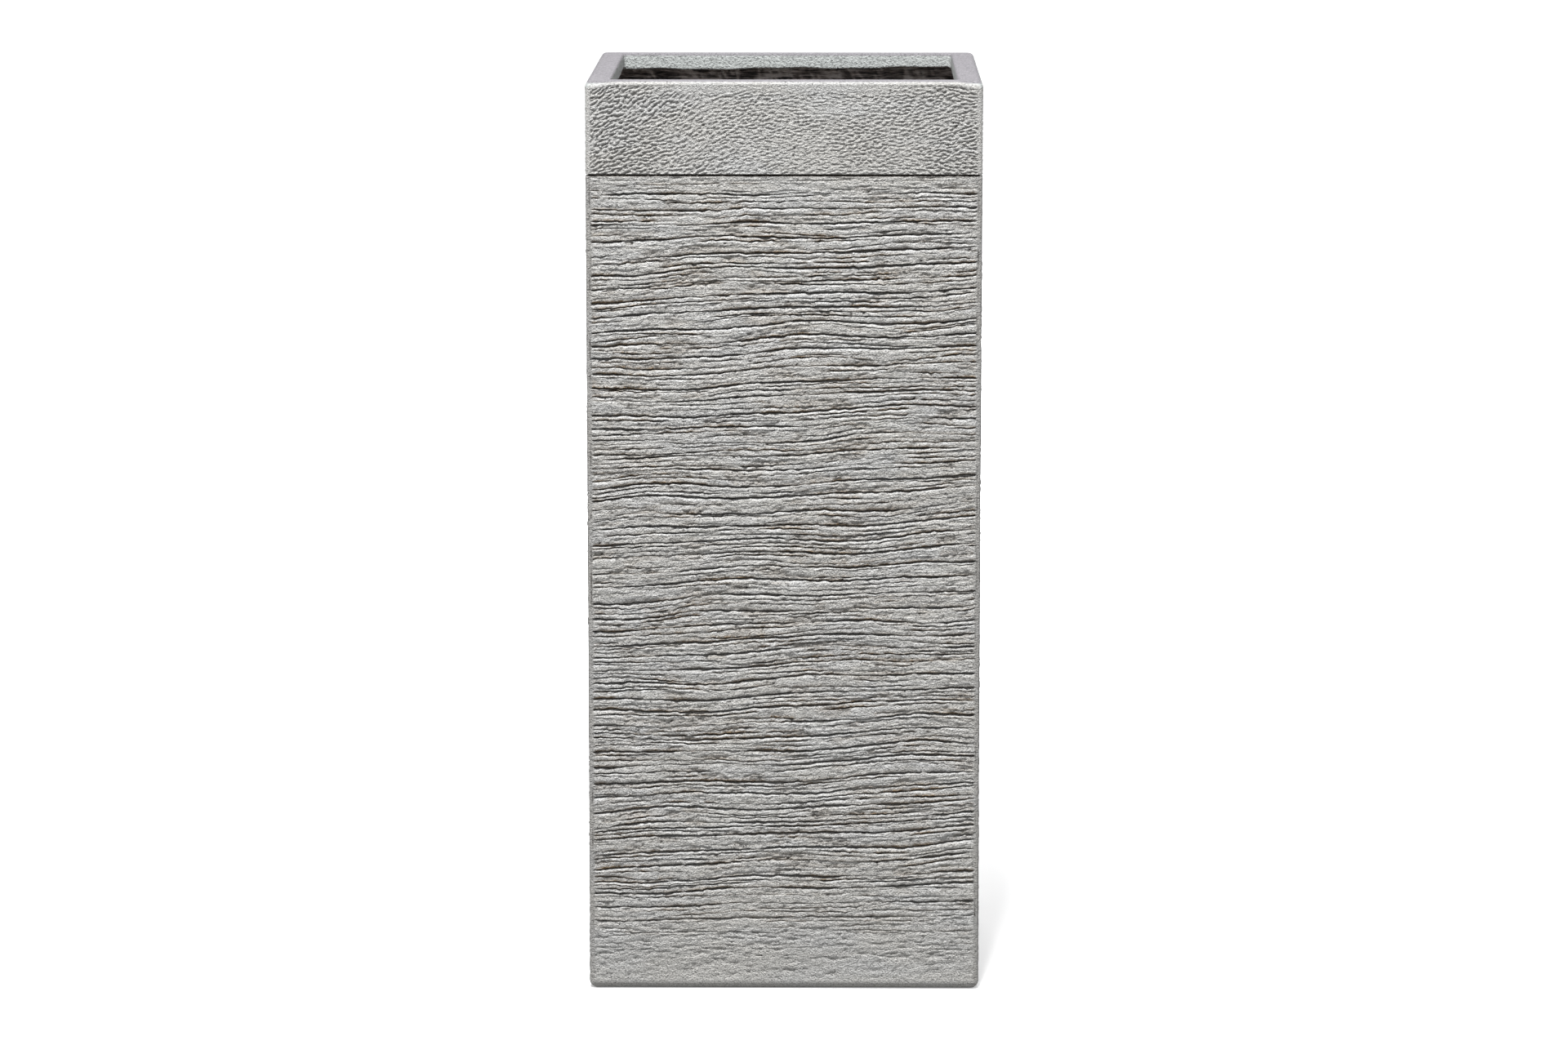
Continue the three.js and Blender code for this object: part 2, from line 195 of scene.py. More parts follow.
def columns(count, corner_count):
    """Stations across a face, closer together round its two corners."""
    inner = np.linspace(-FLAT, FLAT, count + 1 - 2 * corner_count)
    outer = np.linspace(FLAT, FACE_EDGE, corner_count + 1)[1:]
    return np.concatenate([-outer[::-1], inner, outer])


# ------------ mesh helpers
def turned(across, out, side):
    """X and Y of points given across and out from the middle of one face."""
    return ((across, -out), (out, across), (-across, out), (-out, -across))[SIDES.index(side)]


def on_face(across, depth, side):
    """X and Y of points on a face and round half of each of its corners."""
    turn = np.clip(np.abs(across) - FLAT, 0.0, None) / CORNER
    radius = CORNER - depth
    run = np.sign(across) * (np.minimum(np.abs(across), FLAT) + radius * np.sin(turn))
    return turned(run, FLAT + radius * np.cos(turn), side)


def add_object(name, data):
    obj = bpy.data.objects.new(name, data)
    bpy.context.scene.collection.objects.link(obj)
    return obj


def mesh_object(bm, name, material):
    mesh = bpy.data.meshes.new(name)
    bm.to_mesh(mesh)
    bm.free()
    mesh.materials.append(material)
    return add_object(name, mesh)


def finish_mesh(bm, name, material, body):
    """Turns the mesh into a piece that rides on a body and takes a finish."""
    piece = mesh_object(bm, name, material)
    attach(piece, body)
    return piece


def blank_slab(rows, cols):
    """A flat closed slab: a grid in front, and one face behind it at z = -1."""
    bm = bmesh.new()
    bmesh.ops.create_grid(bm, x_segments=cols - 1, y_segments=rows - 1, size=1.0)
    edge = [e for e in bm.edges if e.is_boundary]
    wall = bmesh.ops.extrude_edge_only(bm, edges=edge)["geom"]
    behind = [g for g in wall if isinstance(g, bmesh.types.BMVert)]
    bmesh.ops.translate(bm, verts=behind, vec=(0.0, 0.0, -1.0))
    bmesh.ops.contextual_create(bm, geom=[e for e in bm.edges if e.is_boundary])
    bmesh.ops.recalc_face_normals(bm, faces=bm.faces)
    for face in bm.faces:
        face.smooth = True
    for e in edge:
        e.smooth = False
    return bm


def slab_places(mesh, rows, cols):
    """Row and column of each point of a blank slab, and which points lie behind."""
    co = np.zeros(len(mesh.vertices) * 3)
    mesh.vertices.foreach_get("co", co)
    co = co.reshape(-1, 3)
    c = np.rint((co[:, 0] + 1.0) / 2.0 * (cols - 1)).astype(int)
    r = np.rint((co[:, 1] + 1.0) / 2.0 * (rows - 1)).astype(int)
    return r, c, co[:, 2] < -0.5


def move_points(mesh, x, y, z):
    mesh.vertices.foreach_set("co", (np.stack([x, y, z], 1) * MM).ravel())
    mesh.update()


def add_mask(mesh, name, values):
    layer = mesh.attributes.new(name, "FLOAT", "POINT")
    layer.data.foreach_set("value", values)


def shade(bm):
    """Smooth faces, with the sharp turns kept sharp."""
    bmesh.ops.recalc_face_normals(bm, faces=bm.faces)
    for face in bm.faces:
        face.smooth = True
    for e in bm.edges:
        e.smooth = e.calc_face_angle(0.0) < SHARP


def facing_panel(name, side, across, up, depth, masks, material):
    """A closed mitred panel of facing whose outer skin follows the given relief."""
    bm = blank_slab(*up.shape)
    piece = finish_mesh(bm, name, material, "planter")
    mesh = piece.data
    r, c, behind = slab_places(mesh, *up.shape)
    x, y = on_face(across[c], depth[r, c], side)
    run = np.clip(across[c], -FACE_BACK, FACE_BACK)
    bx, by = turned(run, np.full(len(c), FACE_BACK), side)
    for mask_name, mask in masks.items():
        add_mask(mesh, mask_name, np.where(behind, 0.0, mask[r, c]))
    move_points(mesh, np.where(behind, bx, x), np.where(behind, by, y), up[r, c])
    return piece


def square_path(half, radius, side_steps, corner_steps):
    """Points of a rounded square, all the way round, starting on the right of the front."""
    turn = np.linspace(-math.pi / 2, 0.0, corner_steps + 1)
    centre = half - radius
    arc = np.stack([centre + radius * np.cos(turn), -centre + radius * np.sin(turn)], 1)
    straight = np.linspace(-centre, centre, side_steps + 1)[1:-1]
    run = np.stack([np.full(len(straight), half), straight], 1)
    quarter = np.concatenate([arc, run])
    parts = []
    for k in range(4):
        a = k * math.pi / 2
        spin = np.array([[math.cos(a), math.sin(a)], [-math.sin(a), math.cos(a)]])
        parts.append(quarter @ spin)
    return np.concatenate(parts)


def next_ring(bm, ring, path, height):
    """Extrudes a closed ring of verts and puts the new ring on a path."""
    order = {v: n for n, v in enumerate(ring)}
    edges = [bm.edges.get((v, ring[n - 1])) for n, v in enumerate(ring)]
    made = bmesh.ops.extrude_edge_only(bm, edges=edges)["geom"]
    fresh = [None] * len(ring)
    for v in made:
        if not isinstance(v, bmesh.types.BMVert):
            continue
        for e in v.link_edges:
            parent = e.other_vert(v)
            if parent in order:
                fresh[order[parent]] = v
    put_on(fresh, path, height)
    return fresh


def put_on(ring, path, height):
    for v, (x, y) in zip(ring, path):
        v.co = (x * MM, y * MM, height * MM)


def lofted_ring(sections):
    """Rounded squares joined one to the next and closed. A section is (inset, radius, height)."""
    bm = bmesh.new()
    count = 4 * (RING_CORNER + RING_SIDE)
    ring = bmesh.ops.create_circle(bm, segments=count, radius=1.0)["verts"]
    paths = [square_path(HALF - inset, radius, RING_SIDE, RING_CORNER) for inset, radius, _ in sections]
    heights = [height for _, _, height in sections]
    put_on(ring, paths[0], heights[0])
    for path, height in zip(paths[1:], heights[1:]):
        ring = next_ring(bm, ring, path, height)
    next_ring(bm, ring, paths[0], heights[0])
    bmesh.ops.remove_doubles(bm, verts=bm.verts, dist=1e-7)
    shade(bm)
    return bm


# ------------ shader helpers
def feed(tree, socket, value):
    """Links a socket to another one, or sets its value."""
    if hasattr(value, "is_output"):
        tree.links.new(value, socket)
    elif socket.type == "RGBA":
        socket.default_value = (*value, 1.0)
    else:
        socket.default_value = value


def node(tree, kind, **settings):
    """Adds a node; a setting named after an input feeds that input."""
    made = tree.nodes.new(kind)
    for key, value in settings.items():
        if hasattr(made, key):
            setattr(made, key, value)
        else:
            feed(tree, made.inputs[key.replace("_", " ")], value)
    return made


def blank_material(name, roughness, coat=0.0):
    material = bpy.data.materials.new(name)
    material.use_nodes = True
    tree = material.node_tree
    shader = tree.nodes["Principled BSDF"]
    shader.inputs["Roughness"].default_value = roughness
    shader.inputs["Coat Weight"].default_value = coat
    return material, tree, shader


def ramp(tree, factor, stops, mode="EASE"):
    """A colour ramp fed by factor. Stops are (place, grey) or (place, (r, g, b))."""
    made = tree.nodes.new("ShaderNodeValToRGB")
    made.color_ramp.interpolation = mode
    elements = made.color_ramp.elements
    while len(elements) < len(stops):
        elements.new(0.5)
    for element, (place, colour) in zip(elements, stops):
        element.position = place
        if isinstance(colour, (int, float)):
            colour = (colour, colour, colour)
        element.color = (*colour, 1.0)
    feed(tree, made.inputs["Fac"], factor)
    return made.outputs["Color"]


def mixed(tree, factor, first, second, mode="MIX"):
    """Mix of two colours; each may be a socket or a value."""
    made = tree.nodes.new("ShaderNodeMix")
    made.data_type = "RGBA"
    made.blend_type = mode
    feed(tree, made.inputs[0], factor)
    feed(tree, made.inputs[6], first)
    feed(tree, made.inputs[7], second)
    return made.outputs[2]


def sums(tree, operation, first, second, clamp=False):
    """Math on sockets or values."""
    made = tree.nodes.new("ShaderNodeMath")
    made.operation = operation
    made.use_clamp = clamp
    feed(tree, made.inputs[0], first)
    feed(tree, made.inputs[1], second)
    return made.outputs[0]


def times(tree, first, second, clamp=False):
    return sums(tree, "MULTIPLY", first, second, clamp)


def place(tree, scale=(1.0, 1.0, 1.0), spin=(0.0, 0.0, 0.0)):
    """Object coordinates, stretched and turned."""
    where = tree.nodes.new("ShaderNodeTexCoord").outputs["Object"]
    return node(tree, "ShaderNodeMapping", Vector=where, Scale=scale, Rotation=spin).outputs["Vector"]


def cloud(tree, vector, size, detail=2.0, rough=0.5, warp=0.0):
    """Noise whose blobs are about size metres across."""
    made = node(tree, "ShaderNodeTexNoise", Vector=vector, Scale=1.0 / size, Detail=detail,
                Roughness=rough, Distortion=warp)
    return made.outputs["Fac"]


def group_tree(name, inputs, outputs):
    """A shader group, its inputs and its outputs. A socket is given as (name, kind, value)."""
    tree = bpy.data.node_groups.new(name, "ShaderNodeTree")
    for label, kind, value in inputs:
        socket = tree.interface.new_socket(label, in_out="INPUT", socket_type=kind)
        if value is not None:
            socket.default_value = value
    for label, kind, _ in outputs:
        tree.interface.new_socket(label, in_out="OUTPUT", socket_type=kind)
    return tree, tree.nodes.new("NodeGroupInput").outputs, tree.nodes.new("NodeGroupOutput").inputs


def use_group(tree, group, **values):
    made = tree.nodes.new("ShaderNodeGroup")
    made.node_tree = group
    for key, value in values.items():
        feed(tree, made.inputs[key], value)
    return made.outputs


FLOAT = "NodeSocketFloat"
COLOUR = "NodeSocketColor"


def grain_group():
    """Sandy grain of the coat: a height for the bump, a fleck mask for the colour, and pits."""
    tree, inputs, outputs = group_tree(
        "sandy_grain",
        [("Size", FLOAT, 0.001), ("Stretch", FLOAT, 1.0), ("Pits", FLOAT, 0.5)],
        [("Height", FLOAT, None), ("Fleck", FLOAT, None), ("Pit", FLOAT, None)],
    )
    where = place(tree)
    stretch = inputs["Stretch"]
    along = node(tree, "ShaderNodeCombineXYZ", X=stretch, Y=stretch, Z=1.0)
    drawn = node(tree, "ShaderNodeVectorMath", operation="MULTIPLY")
    feed(tree, drawn.inputs[0], where)
    feed(tree, drawn.inputs[1], along.outputs["Vector"])
    scale = sums(tree, "DIVIDE", 1.0, inputs["Size"])
    fine = node(tree, "ShaderNodeTexNoise", Vector=drawn.outputs["Vector"], Scale=scale, Detail=2.0,
                Roughness=0.6)
    patches = cloud(tree, where, 0.018, 2.0, 0.6)
    cells = node(tree, "ShaderNodeTexVoronoi", Vector=where, Scale=1.0 / 0.0042, Randomness=1.0)
    least = sums(tree, "SUBTRACT", 0.72, times(tree, inputs["Pits"], 0.22))
    rare = sums(tree, "GREATER_THAN", patches, least)
    hole = sums(tree, "SUBTRACT", 1.0, sums(tree, "DIVIDE", cells.outputs["Distance"], 0.16), clamp=True)
    pit = times(tree, hole, rare)
    height = sums(tree, "SUBTRACT", fine.outputs["Fac"], times(tree, pit, 1.2))
    feed(tree, outputs["Height"], height)
    feed(tree, outputs["Fleck"], fine.outputs["Fac"])
    feed(tree, outputs["Pit"], pit)
    return tree


def weather_group():
    """Slow changes of tone over the coat: cool bloom, warm dust."""
    tree, inputs, outputs = group_tree(
        "slow_weather",
        [("Warm", FLOAT, 0.5), ("Cool", FLOAT, 0.5)],
        [("Warm", FLOAT, None), ("Cool", FLOAT, None)],
    )
    wide = place(tree, scale=(0.35, 0.35, 1.0))
    dust = ramp(tree, cloud(tree, wide, 0.016, 3.0, 0.6), [(0.42, 0.0), (0.68, 1.0)])
    bloom = ramp(tree, cloud(tree, wide, 0.028, 2.0, 0.5, 0.4), [(0.40, 0.0), (0.66, 1.0)])
    feed(tree, outputs["Warm"], times(tree, dust, inputs["Warm"]))
    feed(tree, outputs["Cool"], times(tree, bloom, inputs["Cool"]))
    return tree


def attribute(tree, name):
    return node(tree, "ShaderNodeAttribute", attribute_name=name).outputs["Fac"]


def bumped(tree, shader, height, distance):
    bump = node(tree, "ShaderNodeBump", Height=height, Strength=1.0, Distance=distance)
    feed(tree, shader.inputs["Normal"], bump.outputs["Normal"])


def comb_marks(tree):
    """Fine scratches that the comb's teeth leave between the furrows, along its strokes."""
    run = times(tree, attribute(tree, "comb_across"), 0.10)
    where = node(tree, "ShaderNodeCombineXYZ", X=run, Y=attribute(tree, "comb_line"))
    wide = cloud(tree, where.outputs["Vector"], 0.0017, 2.0, 0.55, 0.3)
    centred = sums(tree, "SUBTRACT", wide, 0.5)
    held = times(tree, centred, attribute(tree, "comb_strength"))
    return sums(tree, "ADD", held, 0.5)


def coat_group(weather):
    """Pale coat, cooler and warmer in places, with sandy flecks."""
    tree, inputs, outputs = group_tree(
        "pale_coat",
        [("Fleck", FLOAT, 0.5), ("Warm", FLOAT, 0.2), ("Cool", FLOAT, 0.4)],
        [("Colour", COLOUR, None)],
    )
    tone = use_group(tree, weather, Warm=inputs["Warm"], Cool=inputs["Cool"])
    colour = mixed(tree, tone["Cool"], PALE, COOL)
    colour = mixed(tree, tone["Warm"], colour, DUST)
    flecked = ramp(tree, inputs["Fleck"], [(0.28, 0.58), (0.47, 0.98), (0.72, 1.34)], "LINEAR")
    feed(tree, outputs["Colour"], mixed(tree, 1.0, colour, flecked, "MULTIPLY"))
    return tree


def uneven(tree, noise):
    """A noise spread about 1, to break up a mask."""
    return times(tree, sums(tree, "SUBTRACT", noise, 0.17), 3.0)


def coat_material(name, grain, coat, pits, combed):
    """The pale facing coat with dirt in its furrows, painted shade in its cracks, pits and grooves, and on
    a combed face a painted highlight under each crack.
    """
    material, tree, shader = blank_material(name, 0.86)
    flecks = use_group(tree, grain, Size=0.0010, Stretch=0.8 if combed else 0.85, Pits=pits)
    colour = use_group(tree, coat, Fleck=flecks["Fleck"], Warm=0.12, Cool=0.38)["Colour"]
    height = times(tree, flecks["Height"], 2.8)
    crack = attribute(tree, "painted_shade")
    if combed:
        lumps = cloud(tree, place(tree), 0.0026, 2.0, 0.6)
        gritty = uneven(tree, flecks["Fleck"])
        lumpy = uneven(tree, lumps)
        crack = times(tree, crack, gritty)
        dirt = times(tree, attribute(tree, "dirt"), lumpy, clamp=True)
        colour = mixed(tree, dirt, colour, TAN)
        marks = comb_marks(tree)
        # Painted shade and highlight: the colour is darker in the low parts of the comb scratches and
        # lighter on their high parts, following the bump.
        lines = ramp(tree, marks, [(0.34, (0.88, 0.87, 0.85)), (0.46, (0.98, 0.977, 0.97)),
                                   (0.66, (1.05, 1.05, 1.06))], "LINEAR")
        colour = mixed(tree, 1.0, colour, lines, "MULTIPLY")
        # Painted highlight under each crack.
        painted_highlight = times(tree, attribute(tree, "painted_highlight"), lumpy, clamp=True)
        colour = mixed(tree, painted_highlight, colour, HIGHLIGHT_PAINT)
        height = sums(tree, "ADD", height, times(tree, marks, 2.1))
        height = sums(tree, "ADD", height, times(tree, lumps, 3.4))
    # Painted shade: the colour goes near black in the cracks and pits.
    painted_hollow_shade = sums(tree, "MAXIMUM", crack, times(tree, flecks["Pit"], 0.8), clamp=True)
    colour = mixed(tree, painted_hollow_shade, colour, SHADE_COLOUR)
    feed(tree, shader.inputs["Base Color"], colour)
    bumped(tree, shader, height, 0.0009)
    return material


def rim_material(name, grain, coat):
    """Smooth paint on top of the rim and inside the lip, and the plain coat below its outer edge. The
    top's paint is set much darker than the lip's, as painted shade against the strong top light.
    """
    material, tree, shader = blank_material(name, 0.85)
    shader.inputs["Specular IOR Level"].default_value = 0.25
    flecks = use_group(tree, grain, Size=0.0015, Stretch=0.9, Pits=0.8)
    edge = use_group(tree, coat, Fleck=flecks["Fleck"], Warm=0.12, Cool=0.38)["Colour"]
    mottle = cloud(tree, place(tree), 0.022, 3.0, 0.6)
    # The top takes the darker paint: painted shade.
    top = mixed(tree, mottle, *RIM_TOP_SHADED_PAINT)
    inside = mixed(tree, mottle, *LIP_PAINT)
    down = sums(tree, "SUBTRACT", 1.0, attribute(tree, "rim_height"))
    inward = attribute(tree, "rim_inset")
    paint = mixed(tree, ramp(tree, down, [(0.08, 0.0), (0.2, 1.0)]), top, inside)
    flecked = ramp(tree, flecks["Fleck"], [(0.30, 0.55), (0.46, 0.98), (0.70, 1.26)], "LINEAR")
    paint = mixed(tree, 1.0, paint, flecked, "MULTIPLY")
    colour = mixed(tree, ramp(tree, inward, [(0.0, 0.0), (0.08, 1.0)]), edge, paint)
    # Painted shade in the pits of the rim.
    colour = mixed(tree, times(tree, flecks["Pit"], 0.85), colour, SHADE_COLOUR)
    feed(tree, shader.inputs["Base Color"], colour)
    bumped(tree, shader, times(tree, flecks["Height"], 1.3), 0.0009)
    return material


def strand_group():
    """Chopped glass strands lying every way in resin, and the roller's streaks over them."""
    tree, inputs, outputs = group_tree(
        "glass_strands", [("Streaks", FLOAT, 0.5)], [("Strand", FLOAT, None), ("Streak", FLOAT, None)],
    )
    strands = None
    for turn in (0.15, 0.9, 1.7, 2.5):
        line = place(tree, scale=(0.10, 0.10, 1.0), spin=(0.35 * turn, turn, 0.2 * turn))
        one = cloud(tree, line, 0.0016, 2.0, 0.6, 0.1)
        strands = one if strands is None else sums(tree, "MAXIMUM", strands, one)
    lay = place(tree, scale=(0.09, 0.09, 1.0))
    streak = cloud(tree, lay, 0.0021, 3.0, 0.65, 0.2)
    held = times(tree, sums(tree, "SUBTRACT", streak, 0.5), inputs["Streaks"])
    feed(tree, outputs["Strand"], strands)
    feed(tree, outputs["Streak"], sums(tree, "ADD", held, 0.5))
    return tree


def glass_mat_material(name, strands, streaks, relief):
    """Dark resin with chopped glass strands lying in it."""
    material, tree, shader = blank_material(name, 0.5, 0.25)
    lay = use_group(tree, strands, Streaks=streaks)
    depth = times(tree, lay["Strand"], lay["Streak"])
    if relief:
        depth = sums(tree, "ADD", depth, times(tree, attribute(tree, "strand"), 0.22))
    colour = ramp(tree, depth, [(0.22, RESIN), (0.32, WET_GLASS), (0.47, BARE_GLASS)], "LINEAR")
    feed(tree, shader.inputs["Base Color"], colour)
    feed(tree, shader.inputs["Roughness"], ramp(tree, lay["Streak"], [(0.3, 0.35), (0.7, 0.7)]))
    bumped(tree, shader, depth, 0.0016)
    return material


def plain_grain_material(name, colours, size, roughness):
    """One mottled colour over small lumps. The colours are the high and the low one."""
    base, deep = colours
    material, tree, shader = blank_material(name, roughness)
    lumps = cloud(tree, place(tree), size, 4.0, 0.65)
    feed(tree, shader.inputs["Base Color"], ramp(tree, lumps, [(0.3, deep), (0.7, base)]))
    bumped(tree, shader, lumps, size * 0.5)
    return material


# ------------ the combed faces
def scatter(a, b):
    """A repeatable irregular value from 0 to 1 for each pair of whole numbers."""
    value = np.sin(a * 127.1 + b * 311.7) * 43758.5453
    return value - np.floor(value)


def by_stretch(a, offset, across):
    """An irregular value that changes from stretch to stretch of a stroke."""
    where = np.clip((across / COMB_SPAN * 0.5 + 0.5) * STRETCHES, 0.0, STRETCHES)
    column = np.minimum(np.floor(where), STRETCHES - 1)
    t = where - column
    t = t * t * (3.0 - 2.0 * t)
    return scatter(a, column + offset) * (1.0 - t) + scatter(a, column + 1 + offset) * t


def comb_drift(across, height, face):
    """How far the strokes have climbed or sunk together."""
    slow = np.sin(2.0 * math.pi * (across + height) / LONG_WAVE + 1.7 * face)
    quick = np.sin(2.0 * math.pi * (across - height) / SHORT_WAVE + 2.9 * face)
    calm = ease(COMB_BOTTOM, COMB_BOTTOM + BOTTOM_FADE, height)
    calm *= 1.0 - ease(COMB_TOP - TOP_CALM, COMB_TOP, height)
    return calm * (COMB_WANDER * (slow + 0.6 * quick) + COMB_RISE * across / HALF)


def groove_line(groove, face, across):
    """Height of one main groove across a face."""
    rest = COMB_BOTTOM + (COMB_TOP - COMB_BOTTOM) * groove / GROOVES
    if groove in (0, GROOVES):
        return np.full(len(across), rest)
    moved = GROOVE_JITTER * (scatter(groove, face + 40) - 0.5)
    astray = STROKE_JITTER * (by_stretch(groove + 97 * face, 31, across) - 0.5)
    return rest + moved + astray + comb_drift(across, rest, face)


def comb_pressure(up):
    """Pressure of the comb at one height, as a share of the full pressure."""
    top = 0.6 + 0.4 * (1.0 - ease(SCORE_LINE - TOP_FADE, SCORE_LINE, up))
    return top * ease(COMB_BOTTOM, COMB_BOTTOM + BOTTOM_FADE, up)


def groove_depth(groove, face, across):
    """Depth of one main groove at full pressure."""
    if groove in (0, GROOVES):
        return np.full(len(across), LIGHTEST)
    pressed = FAINTEST + (1.0 - FAINTEST) * ease(0.1, 0.7, by_stretch(groove + 97 * face, 0, across))
    return np.maximum(GROOVE_DEPTH * pressed, LIGHTEST)


def ridge_depth(ridge, kind, face, across):
    """Depth of a ridge's front at its ledge (1) or where its slope begins (2)."""
    return np.maximum(RIDGE_DEPTH * by_stretch(ridge + 97 * face, 13 * kind, across), LIGHTEST)


def jagged(rng, across, scale):
    """The small unevenness of one crack across a face."""
    return scale * (wander(rng, across, 20.0) * 0.18 + wander(rng, across, 5.0) * 0.10
                    + wander(rng, across, 2.8) * 0.14)


def stroke(rng, across, reach, least, most, start, end):
    """Depth of one light stroke that comes and goes along a face."""
    on = ease(start, end, wander(rng, across, reach))
    grit = 1.0 + 0.30 * wander(rng, across, 7.0) + 0.25 * wander(rng, across, 3.6)
    return np.clip(rng.uniform(least, most) * on * grit, 0.0, None)


def falling(distance, reach):
    """1 at a crack, falling evenly to 0 at the reach."""
    return np.clip(1.0 - distance / reach, 0.0, 1.0)


def over_crack(away, deep):
    """Depth over a narrow crack: a steep edge, a little rounded."""
    return deep * np.maximum(falling(away, 0.42), 0.16 * np.exp(-away / 0.5))


def under_crack(left, deep):
    """Depth under a narrow crack: a slope that faces up."""
    return deep * np.maximum(falling(left, 0.50), 0.50 * falling(left, 1.3) ** 1.3)


def segment_heights(low, high, steps):
    """Rows between two cracks, close together beside each of them."""
    gap = high - low
    start = [low] + [low + np.minimum(d, gap * d / 3.4) for d in OVER_CRACK]
    stop = [high - np.minimum(d, gap * d / 3.4) for d in UNDER_CRACK]
    even = [start[-1] + (stop[0] - start[-1]) * n / (steps + 1) for n in range(1, steps + 1)]
    return start + even + stop


def comb_rows(rng, face, across, steps):
    """Heights, depths and masks of the combing of one face, row by row from its lower edge."""
    grooves = [groove_line(g, face, across) for g in range(GROOVES + 1)]
    for g in range(1, GROOVES):
        grooves[g] = grooves[g] + jagged(rng, across, 1.0)
    deeps = [groove_depth(g, face, across) for g in range(GROOVES + 1)]
    for g in range(1, GROOVES):
        deeps[g] = deeps[g] * (1.0 + 0.20 * wander(rng, across, 8.0) + 0.16 * wander(rng, across, 3.6))
    rows = []
    for k in range(GROOVES):
        low = grooves[k]
        high = grooves[k + 1]
        gap = high - low
        share = (0.36 + 0.07 * wander(rng, across, 60.0), 0.69 + 0.06 * wander(rng, across, 60.0))
        lines = [low] + [low + gap * s + jagged(rng, across, 0.8) for s in share] + [high]
        for n in (1, 2):
            lines[n] = np.maximum(lines[n], lines[n - 1] + 1.6)
        for n in (2, 1):
            lines[n] = np.minimum(lines[n], lines[n + 1] - 1.6)
        light = [stroke(rng, across, 38.0, 0.8, 2.1, -0.7, 0.4) for _ in share]
        cracks = [deeps[k]] + light + [deeps[k + 1]]
        front = ridge_depth(k, 1, face, across)
        back = ridge_depth(k, 2, face, across)
        shingle = [0.14 + 0.14 * wander(rng, across, 45.0) for _ in range(LINES_PER_RIDGE)]
        for n in range(LINES_PER_RIDGE):
            for z in segment_heights(lines[n], lines[n + 1], steps):
                rise = np.clip((z - low - LEDGE_REACH) / (gap - LEDGE_REACH - SLOPE_REACH), 0.0, 1.0)
                level = front + (back - front) * rise
                ledge = falling(z - low, LEDGE_REACH) ** 2.2 * deeps[k]
                slope = falling(high - z, SLOPE_REACH) ** 2.0 * deeps[k + 1]
                body = np.maximum(level, np.maximum(ledge, slope))
                along = (z - lines[n]) / (lines[n + 1] - lines[n])
                leaning = shingle[n] * (along - 0.35)
                away = z - lines[n]
                left = lines[n + 1] - z
                mark = np.maximum(over_crack(away, cracks[n]), under_crack(left, cracks[n + 1]))
                # The crack cores become painted shade.
                core = np.maximum(cracks[n] * falling(away, 0.62), cracks[n + 1] * falling(left, 0.36))
                stain = np.maximum(cracks[n] * np.exp(-away / 0.8),
                                   0.5 * cracks[n + 1] * np.exp(-left / 0.4))
                # Painted highlight on the slope that faces up under the next crack.
                painted_highlight = cracks[n + 1] * np.exp(-((left - 1.15) / 0.55) ** 2)
                rest = COMB_BOTTOM + (COMB_TOP - COMB_BOTTOM) * (k + (z - low) / gap) / GROOVES
                rows.append((z, body + leaning + mark, core / 1.05, stain / 1.15, painted_highlight / 1.6, rest))
    none = 0.0 * across
    rows.append((grooves[-1], none + LIGHTEST, none, none, none, grooves[-1]))
    return [np.stack(layer) for layer in zip(*rows)]


def plain_rows(across, heights, depth):
    """Level rows without any comb marks."""
    up = np.broadcast_to(np.array(heights)[:, None], (len(heights), len(across)))
    calm = np.zeros_like(up)
    return up, calm + depth, calm, calm, calm, up


def add_pits(rng, across, up, depth, painted_shade, count, widest):
    """Small burst bubbles in the coat."""
    for _ in range(count):
        u = rng.uniform(-144.0, 144.0)
        z = rng.uniform(up.min() + 4.0, up.max() - 4.0)
        radius = rng.uniform(0.5, widest)
        c0 = max(int(np.searchsorted(across, u - 3.0)), 1)
        c1 = int(np.searchsorted(across, u + 3.0)) + 1
        r0 = int(np.searchsorted(up[:, c0], z - 9.0))
        r1 = int(np.searchsorted(up[:, c0], z + 9.0)) + 1
        near = np.exp(-((across[None, c0:c1] - u) ** 2 + (up[r0:r1, c0:c1] - z) ** 2) / radius ** 2)
        depth[r0:r1, c0:c1] += near * rng.uniform(0.5, 1.2)
        # Painted shade in each pit.
        painted_shade[r0:r1, c0:c1] = np.maximum(painted_shade[r0:r1, c0:c1], near * 0.95)


def comb_ripples(rng, wide, line):
    """Shallow ripples that the comb's fine teeth leave along the strokes."""
    return (0.12 * drift(rng, wide, line, 22.0, 2.0) + 0.17 * drift(rng, wide, line, 7.5, 1.1)
            + 0.18 * drift(rng, wide, line, 2.6, 0.8))


def corner_seam(rng, wide, up):
    """The fine line that stays beside each vertical corner."""
    line = SEAM + 0.2 * drift(rng, wide, up, 400.0, 9.0)
    seam = np.exp(-((np.abs(wide) - line) / 0.45) ** 2)
    return seam * ease(-1.1, 0.1, drift(rng, wide, up, 400.0, 25.0)) * ease(20.0, 60.0, up)


def face_rows(rng, face, across, steps):
    """Every row of a face up to the scored line: level, combed, and level again."""
    below = plain_rows(across, np.linspace(FOOT_TOP, COMB_BOTTOM - 0.5, FOOT_ROWS), 0.0)
    above = plain_rows(across, np.linspace(COMB_TOP + 0.5, BRINK - 0.7, 4), LIGHTEST)
    combing = comb_rows(rng, face, across, steps)
    return [np.concatenate(layers) for layers in zip(below, combing, above)]


